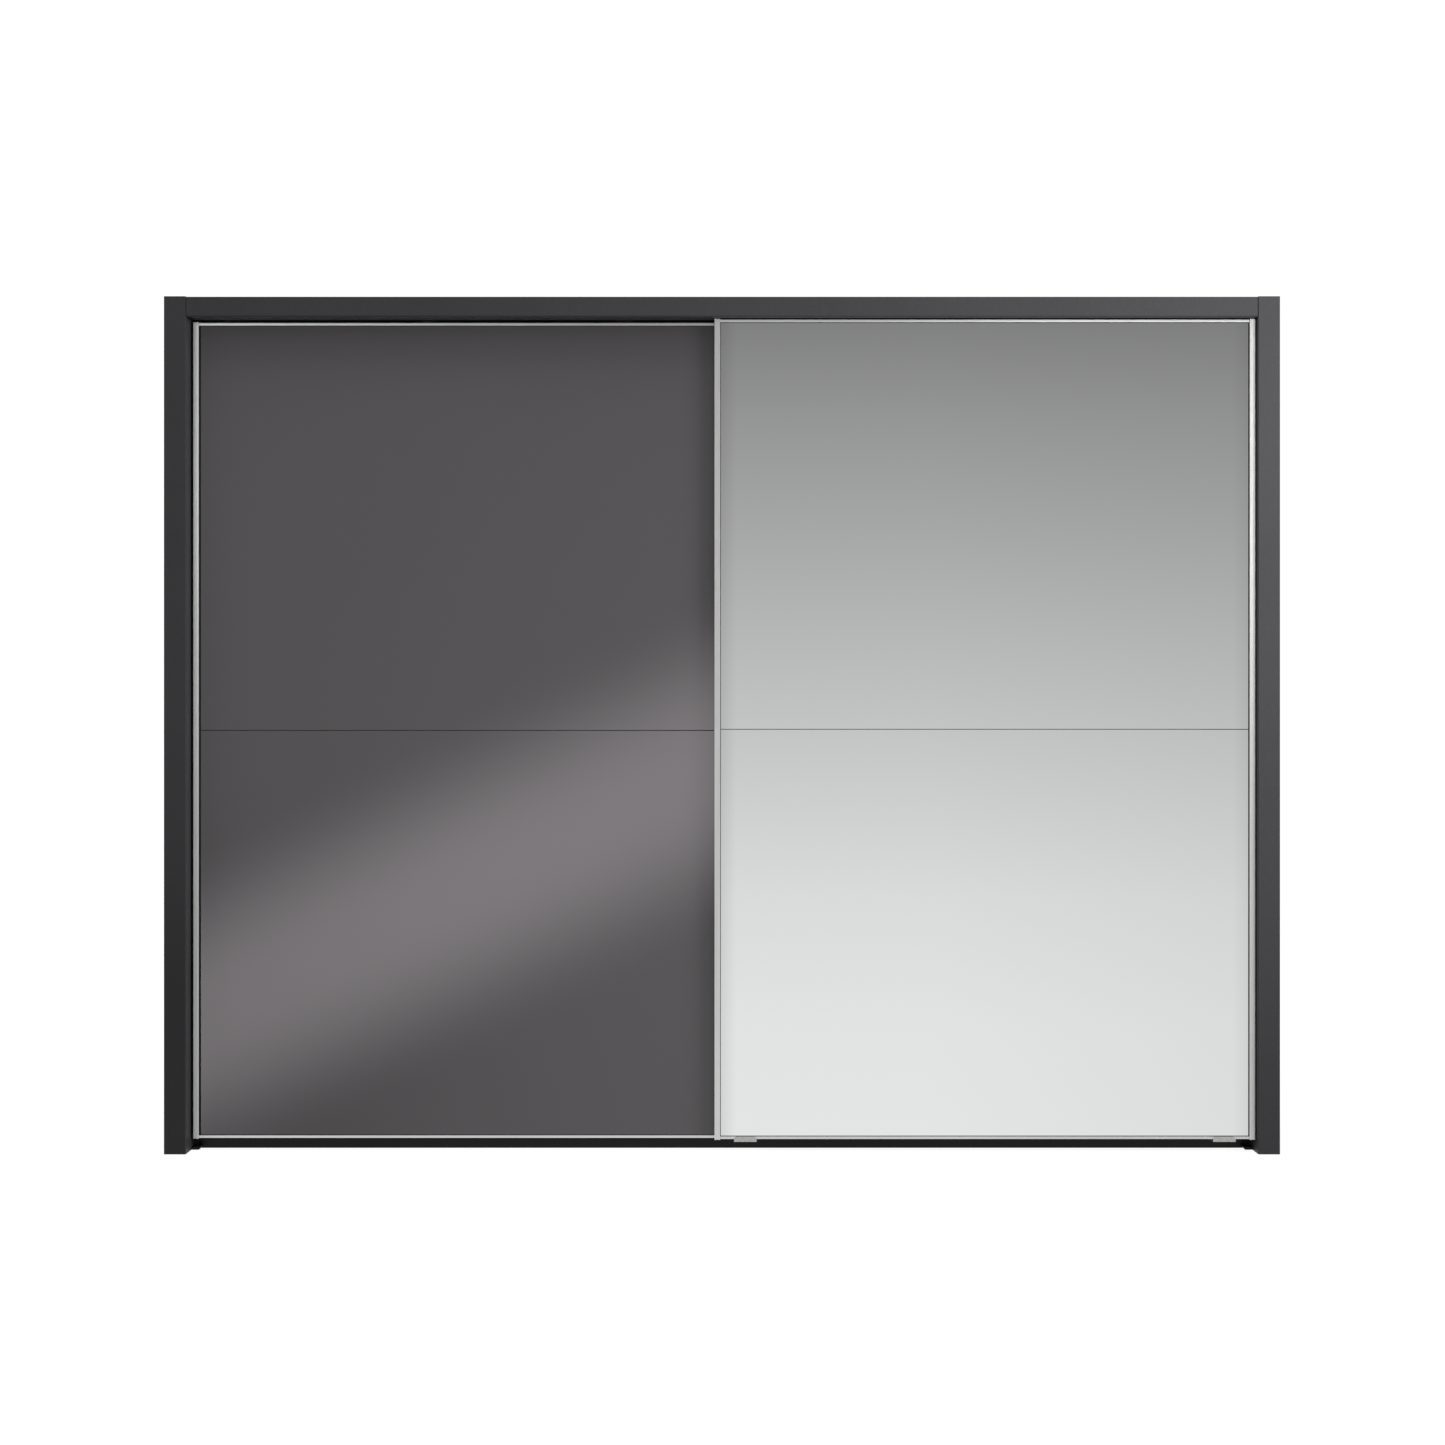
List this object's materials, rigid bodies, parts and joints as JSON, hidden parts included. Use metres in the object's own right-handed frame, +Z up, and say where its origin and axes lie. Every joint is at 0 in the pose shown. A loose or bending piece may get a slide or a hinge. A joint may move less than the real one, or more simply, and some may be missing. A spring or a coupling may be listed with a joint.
{
  "type": "sliding door wardrobe",
  "caption": "Wide wardrobe with a surrounding frame and two overlapping sliding doors, one grey glass and one mirror, over open compartments with hat shelves and clothes rails.",
  "frame": {"origin": "floor level, middle of the width and of the depth", "axes": "+Z up, +X to the right of a person facing the doors, the doors face -Y"},
  "size_m": [2.81, 0.68, 2.16],
  "materials": {
    "frame_board": "matt graphite melamine",
    "carcass_board": "matt graphite melamine",
    "door_board": "matt graphite melamine",
    "raw_board": "raw board",
    "back_sheet": "printed hardboard",
    "aluminium_profile": "satin anodised",
    "grey_glass": "high gloss, lacquered behind",
    "mirror_glass": "polished",
    "dark_strip": "matt",
    "gasket_rubber": "matt",
    "black_plastic": "fine grained",
    "zinc_steel": "zinc plated",
    "chrome_tube": "bright",
    "nylon": "natural nylon"
  },
  "bodies": {
    "root": {"frame_side_left": "frame_board", "frame_side_right": "frame_board", "frame_top": "frame_board", "frame_battens": "raw_board", "carcass_side_left": "carcass_board", "carcass_side_right": "carcass_board", "centre_partition": "carcass_board", "top_panel_left": "carcass_board", "top_panel_right": "carcass_board", "bottom_panel_left": "carcass_board", "bottom_panel_right": "carcass_board", "plinth_boards": "carcass_board", "back_panels": "back_sheet", "back_joint_strips": "black_plastic", "shelf_left": "carcass_board", "shelf_right": "carcass_board", "shelf_pins": "zinc_steel", "clothes_rails": "chrome_tube", "clothes_rail_sockets": "chrome_tube", "running_rail": "aluminium_profile", "rail_brackets": "zinc_steel", "rail_end_stops": "black_plastic", "guide_rail": "black_plastic", "floor_glides": "black_plastic", "cam_fittings": "zinc_steel", "wall_brackets": "zinc_steel", "fixing_screws": "zinc_steel"},
    "left_door": {"left_door_stile_outer": "aluminium_profile", "left_door_stile_inner": "aluminium_profile", "left_door_top_profile": "aluminium_profile", "left_door_bottom_profile": "aluminium_profile", "left_door_mid_profile": "dark_strip", "left_door_upper_pane": "grey_glass", "left_door_lower_pane": "grey_glass", "left_door_backing_boards": "door_board", "left_door_gaskets": "gasket_rubber", "left_door_hangers": "zinc_steel", "left_door_guides": "zinc_steel", "left_door_screws": "zinc_steel"},
    "right_door": {"right_door_stile_outer": "aluminium_profile", "right_door_stile_inner": "aluminium_profile", "right_door_top_profile": "aluminium_profile", "right_door_bottom_profile": "aluminium_profile", "right_door_mid_profile": "dark_strip", "right_door_upper_pane": "mirror_glass", "right_door_lower_pane": "mirror_glass", "right_door_backing_boards": "door_board", "right_door_gaskets": "gasket_rubber", "right_door_hangers": "zinc_steel", "right_door_guides": "zinc_steel", "right_door_screws": "zinc_steel"},
    "left_door_wheel_1": {"left_door_wheel_1": "nylon"},
    "left_door_wheel_2": {"left_door_wheel_2": "nylon"},
    "left_door_roller_1": {"left_door_roller_1": "nylon"},
    "left_door_roller_2": {"left_door_roller_2": "nylon"},
    "right_door_wheel_1": {"right_door_wheel_1": "nylon"},
    "right_door_wheel_2": {"right_door_wheel_2": "nylon"},
    "right_door_roller_1": {"right_door_roller_1": "nylon"},
    "right_door_roller_2": {"right_door_roller_2": "nylon"}
  },
  "joints": [
    {"name": "left_door_slide", "type": "slide", "parent": "root", "child": "left_door", "axis": [1, 0, 0], "range_m": [0, 1.325]},
    {"name": "right_door_slide", "type": "slide", "parent": "root", "child": "right_door", "axis": [1, 0, 0], "range_m": [-1.329, 0]},
    {"name": "left_door_wheel_1_spin", "type": "hinge", "parent": "left_door", "child": "left_door_wheel_1", "pos_m": [-1.234, -0.265, 2.1223], "axis": [0, 1, 0], "continuous": true},
    {"name": "left_door_wheel_2_spin", "type": "hinge", "parent": "left_door", "child": "left_door_wheel_2", "pos_m": [-0.087, -0.265, 2.1223], "axis": [0, 1, 0], "continuous": true},
    {"name": "left_door_roller_1_spin", "type": "hinge", "parent": "left_door", "child": "left_door_roller_1", "pos_m": [-1.266, -0.233, 0.019], "axis": [0, 0, 1], "continuous": true},
    {"name": "left_door_roller_2_spin", "type": "hinge", "parent": "left_door", "child": "left_door_roller_2", "pos_m": [-0.055, -0.233, 0.019], "axis": [0, 0, 1], "continuous": true},
    {"name": "right_door_wheel_1_spin", "type": "hinge", "parent": "right_door", "child": "right_door_wheel_1", "pos_m": [0.091, -0.295, 2.1223], "axis": [0, 1, 0], "continuous": true},
    {"name": "right_door_wheel_2_spin", "type": "hinge", "parent": "right_door", "child": "right_door_wheel_2", "pos_m": [1.238, -0.295, 2.1223], "axis": [0, 1, 0], "continuous": true},
    {"name": "right_door_roller_1_spin", "type": "hinge", "parent": "right_door", "child": "right_door_roller_1", "pos_m": [0.059, -0.249, 0.019], "axis": [0, 0, 1], "continuous": true},
    {"name": "right_door_roller_2_spin", "type": "hinge", "parent": "right_door", "child": "right_door_roller_2", "pos_m": [1.27, -0.249, 0.019], "axis": [0, 0, 1], "continuous": true}
  ],
  "couplings": [
    {"joint": "left_door_wheel_1_spin", "follows": "left_door_slide", "rad_per_m": 100},
    {"joint": "left_door_wheel_2_spin", "follows": "left_door_slide", "rad_per_m": 100},
    {"joint": "left_door_roller_1_spin", "follows": "left_door_slide", "rad_per_m": 222.22},
    {"joint": "left_door_roller_2_spin", "follows": "left_door_slide", "rad_per_m": 222.22},
    {"joint": "right_door_wheel_1_spin", "follows": "right_door_slide", "rad_per_m": 100},
    {"joint": "right_door_wheel_2_spin", "follows": "right_door_slide", "rad_per_m": 100},
    {"joint": "right_door_roller_1_spin", "follows": "right_door_slide", "rad_per_m": 222.22},
    {"joint": "right_door_roller_2_spin", "follows": "right_door_slide", "rad_per_m": 222.22}
  ]
}
